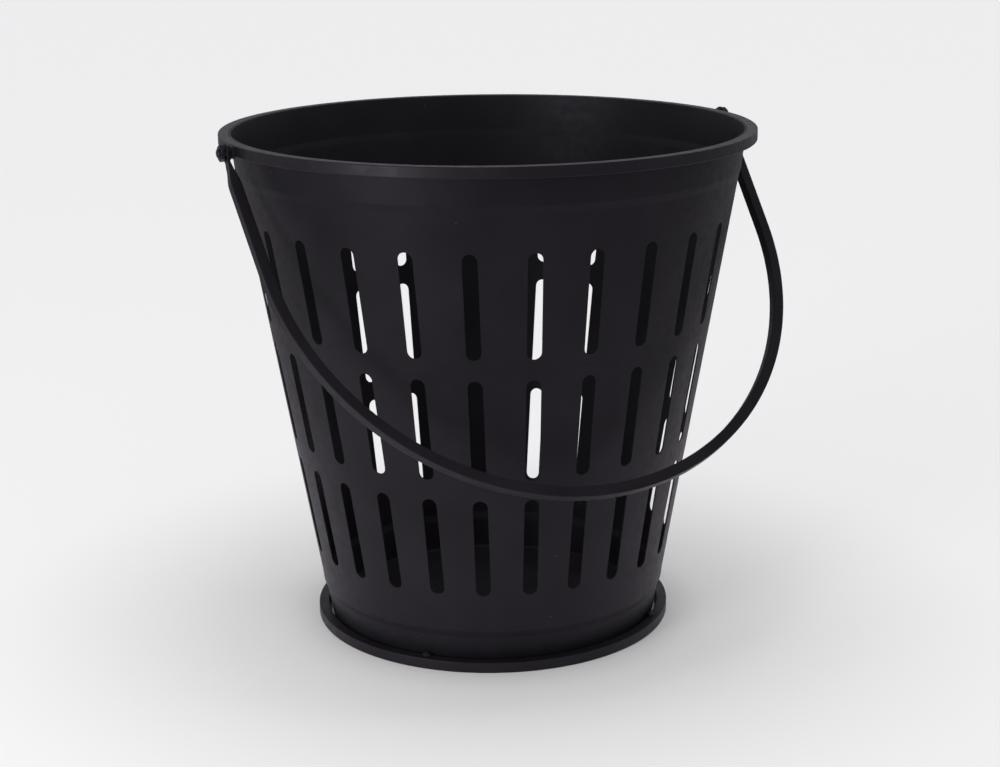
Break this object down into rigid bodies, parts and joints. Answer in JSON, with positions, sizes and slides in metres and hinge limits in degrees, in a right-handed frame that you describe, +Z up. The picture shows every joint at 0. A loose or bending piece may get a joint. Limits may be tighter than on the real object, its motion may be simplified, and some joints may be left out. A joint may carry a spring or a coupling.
{
  "type": "florist bucket",
  "caption": "Tapered round metal bucket with slotted walls, square bar hoops at rim and foot, and a swinging bail handle on bolted pivots.",
  "frame": {"origin": "centre of the bucket's underside, on its own axis at floor level", "axes": "+Z up along the bucket's axis, X along the bail's pivot axis, -Y the front, where the bail hangs"},
  "size_m": [0.3176, 0.3, 0.287],
  "materials": {
    "wall_coat": "fine matt black powder coat on thin steel sheet",
    "plate_coat": "matt black powder coat",
    "rim_coat": "satin black powder coat on square steel bar",
    "foot_coat": "satin black powder coat on square steel bar",
    "weld_coat": "satin black powder coat over a weld bead",
    "bail_coat": "satin black powder coat on square steel bar",
    "stud_coat": "satin black powder coat over a threaded stud",
    "washer_coat": "satin black powder coat, worn at the edges",
    "nut_coat": "satin black powder coat, worn at the corners"
  },
  "bodies": {
    "bucket": {"bucket_wall": "wall_coat", "bottom_plate": "plate_coat", "rim_ring": "rim_coat", "foot_ring": "foot_coat", "foot_weld_1": "weld_coat", "foot_weld_2": "weld_coat", "foot_weld_3": "weld_coat", "foot_weld_4": "weld_coat", "pivot_stud_left": "stud_coat", "pivot_stud_right": "stud_coat", "pivot_washer_left": "washer_coat", "pivot_washer_right": "washer_coat", "pivot_nut_left": "nut_coat", "pivot_nut_right": "nut_coat"},
    "bail": {"bail_handle": "bail_coat"}
  },
  "joints": [
    {"name": "bail_swing", "type": "hinge", "parent": "bucket", "child": "bail", "pos_m": [0, 0, 0.282], "axis": [-1, 0, 0], "range_deg": [-9, 287]}
  ]
}
